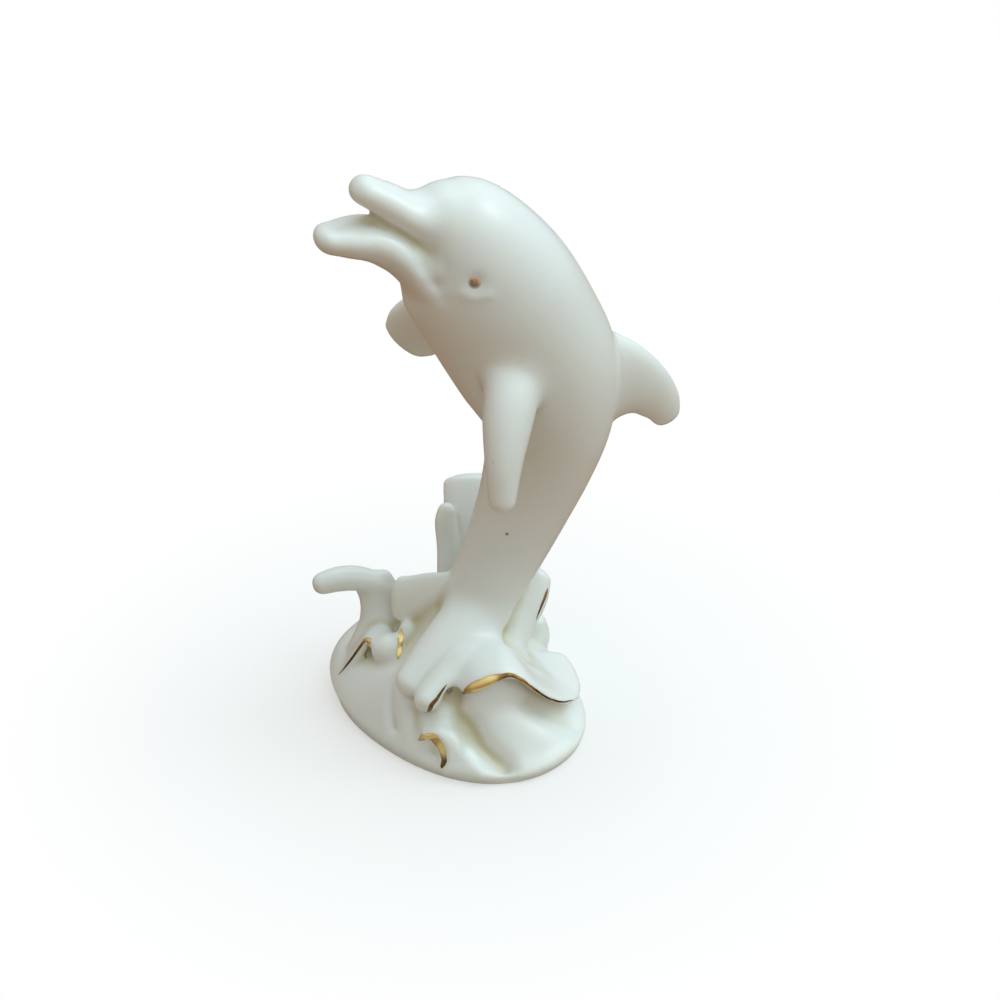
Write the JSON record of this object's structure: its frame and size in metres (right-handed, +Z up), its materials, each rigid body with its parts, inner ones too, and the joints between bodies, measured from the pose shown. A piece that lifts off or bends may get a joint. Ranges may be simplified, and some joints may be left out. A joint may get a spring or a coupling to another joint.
{
  "type": "dolphin figurine",
  "caption": "Glazed porcelain figurine of a dolphin leaping from breaking waves, on an oval flat-bottomed sea base, with gilded wave edges.",
  "frame": {"origin": "centre of the flat foot under the sea base", "axes": "+Z up; the dolphin leaps towards -X and its plane of symmetry is y = 0"},
  "size_m": [0.0791, 0.0612, 0.1294],
  "materials": {
    "porcelain": "ivory-white, smooth and shiny clear glaze",
    "gilt": "thin burnished gold lustre line painted over the glaze",
    "eye_paint": "brown-red on-glaze enamel dot"
  },
  "bodies": {
    "root": {"dolphin_figurine": "porcelain"}
  },
  "joints": []
}
